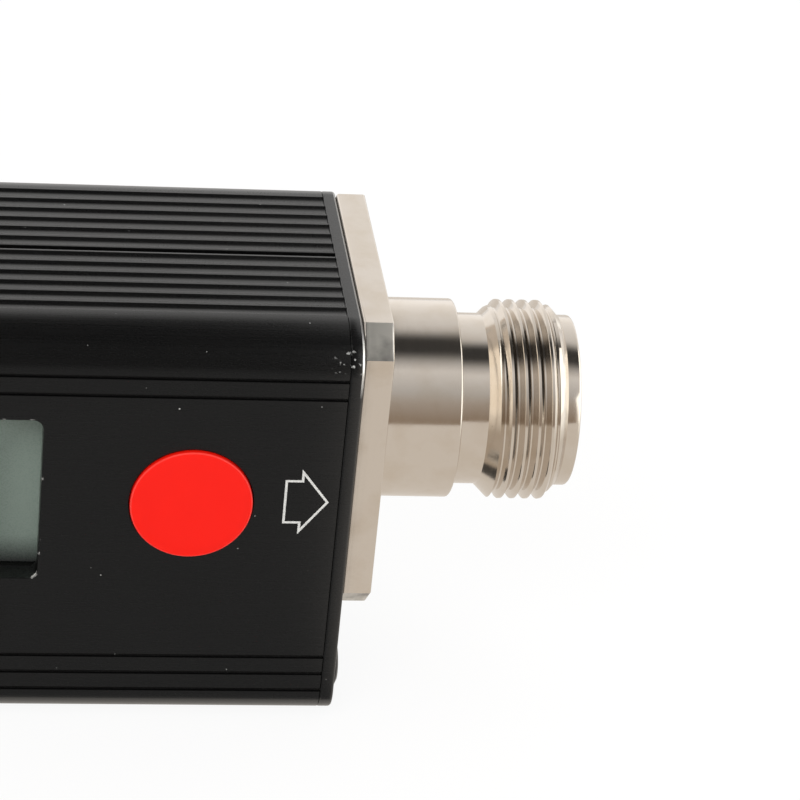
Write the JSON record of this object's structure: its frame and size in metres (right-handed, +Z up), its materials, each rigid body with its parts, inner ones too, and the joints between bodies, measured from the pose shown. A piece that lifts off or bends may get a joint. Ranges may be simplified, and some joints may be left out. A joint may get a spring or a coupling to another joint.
{
  "type": "in-line standing-wave meter",
  "caption": "Pocket in-line radio power and standing-wave meter: split fluted metal case, recessed display, push button and a threaded coaxial jack with square flange at each end.",
  "frame": {"origin": "under the middle of the case, on the surface it stands on", "axes": "+X from the input jack to the output jack, -Y out of the display face, +Z up"},
  "size_m": [0.112, 0.0275, 0.0349],
  "materials": {
    "anodised_case": "black anodised, satin",
    "anodised_plate": "black anodised, satin",
    "black_steel": "blackened",
    "nickel_plate": "nickel plated, bright",
    "insulator": "smooth white",
    "contact_metal": "gold plated",
    "plated_steel": "nickel plated",
    "display_glass": "grey-green, blank",
    "black_plastic": "matte",
    "strip_rubber": "matte",
    "light_plate": "clear, diffusing",
    "red_plastic": "satin red",
    "sheet_steel": "plated sheet",
    "board": "green board",
    "chip_resin": "moulded resin",
    "small_parts": "mixed small parts",
    "copper": "tinned copper",
    "cell_wrap": "plain wrapped can"
  },
  "bodies": {
    "case": {"front_shell": "anodised_case", "rear_shell": "anodised_case", "end_plate_in": "anodised_plate", "end_plate_out": "anodised_plate", "plate_screws_in": "black_steel", "plate_screws_out": "black_steel", "jack_in": "nickel_plate", "jack_out": "nickel_plate", "insulator_in": "insulator", "insulator_out": "insulator", "contact_in": "contact_metal", "contact_out": "contact_metal", "flange_screws_in": "plated_steel", "flange_screws_out": "plated_steel", "flange_nuts_in": "plated_steel", "flange_nuts_out": "plated_steel", "lcd_glass": "display_glass", "lcd_frame": "black_plastic", "lcd_strips": "strip_rubber", "lcd_backlight": "light_plate", "switch_dome": "sheet_steel", "switch_cover": "sheet_steel", "switch_housing": "black_plastic", "main_board": "board", "controller_chip": "chip_resin", "board_parts": "small_parts", "board_header": "black_plastic", "rf_board": "board", "through_line": "copper", "coupler_parts": "chip_resin", "rf_shield": "sheet_steel", "battery_cell": "cell_wrap", "battery_holder": "black_plastic", "battery_contacts": "sheet_steel"},
    "button": {"button_cap": "red_plastic", "switch_plunger": "black_plastic"}
  },
  "joints": [
    {"name": "button_press", "type": "slide", "parent": "case", "child": "button", "axis": [0, 1, 0], "range_m": [0, 0.0005], "stiffness_N_per_m": 4000, "deforming": ["switch_dome"]}
  ]
}
